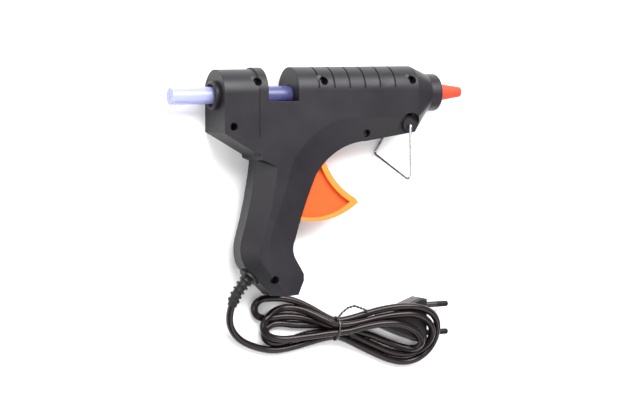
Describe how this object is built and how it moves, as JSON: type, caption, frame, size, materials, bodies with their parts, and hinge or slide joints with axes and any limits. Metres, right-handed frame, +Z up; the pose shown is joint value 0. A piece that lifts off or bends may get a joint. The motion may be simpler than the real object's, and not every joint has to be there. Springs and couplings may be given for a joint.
{
  "type": "hot glue gun",
  "caption": "Pistol-grip hot glue gun with pull trigger, glue stick through an open-topped feed window, fold-out wire stand, silicone-sleeved nozzle and tied mains lead with plug.",
  "frame": {"origin": "centre of the gun's box seen from above, on the table; the lead, hank and plug are left out of that box", "axes": "+X along the barrel towards the nozzle, +Y from the grip to the top of the barrel, +Z up from the left side, which lies on the table, to the right side"},
  "size_m": [0.2106, 0.2005, 0.029],
  "materials": {
    "body_plastic": "fine satin moulding",
    "trigger_plastic": "satin orange moulding",
    "silicone": "matt orange-red silicone",
    "glue": "cloudy translucent hot-melt adhesive",
    "steel": "bright zinc-plated steel",
    "aluminium": "as cast",
    "brass": "turned",
    "ceramic": "grey fired ceramic",
    "film": "amber polyimide film",
    "seal_silicone": "off-white silicone",
    "live_insulation": "brown insulation",
    "neutral_insulation": "blue insulation",
    "cord_pvc": "glossy black flexible PVC",
    "relief_rubber": "matt black",
    "plug_plastic": "satin black moulded PVC",
    "tie_plastic": "black coated wire"
  },
  "bodies": {
    "gun": {"right_housing": "body_plastic", "left_housing": "body_plastic", "housing_screws": "steel", "stick_inlet_guide": "body_plastic", "stick_seal": "seal_silicone", "melt_chamber": "aluminium", "heater_insulation": "film", "ceramic_heater": "ceramic", "heater_electrodes": "brass", "nozzle": "brass", "nozzle_sleeve": "silicone", "valve_ball": "steel", "valve_spring": "steel", "trigger_pin": "steel", "trigger_return_spring": "steel", "live_lead": "live_insulation", "neutral_lead": "neutral_insulation", "inner_cord": "cord_pvc", "cord_clamp": "body_plastic", "cord_clamp_screws": "steel", "strain_relief": "relief_rubber", "mains_cord": "cord_pvc", "cord_hank": "cord_pvc", "cable_tie": "tie_plastic", "plug_body": "plug_plastic", "plug_pins": "steel"},
    "trigger": {"trigger": "trigger_plastic"},
    "carriage": {"feed_carriage": "trigger_plastic", "stick_gripper": "steel"},
    "stick": {"glue_stick": "glue"},
    "stand": {"wire_stand": "steel"}
  },
  "joints": [
    {"name": "trigger_pull", "type": "hinge", "parent": "gun", "child": "trigger", "pos_m": [-0.00725, 0.02625, 0.0145], "axis": [0, 0, -1], "range_deg": [0, 25], "stiffness_Nm_per_rad": 0.12, "springref_deg": -28.65},
    {"name": "carriage_feed", "type": "slide", "parent": "gun", "child": "carriage", "axis": [1, 0, 0], "range_m": [0, 0.0129]},
    {"name": "stick_feed", "type": "slide", "parent": "gun", "child": "stick", "axis": [1, 0, 0], "range_m": [0, 0.0129]},
    {"name": "stand_swing", "type": "hinge", "parent": "gun", "child": "stand", "pos_m": [0.06035, 0.03465, 0.0145], "axis": [0, 0, 1], "range_deg": [-38, 75]}
  ],
  "couplings": [
    {"joint": "carriage_feed", "follows": "trigger_pull", "m_per_rad": 0.02947},
    {"joint": "stick_feed", "follows": "trigger_pull", "m_per_rad": 0.02947}
  ]
}
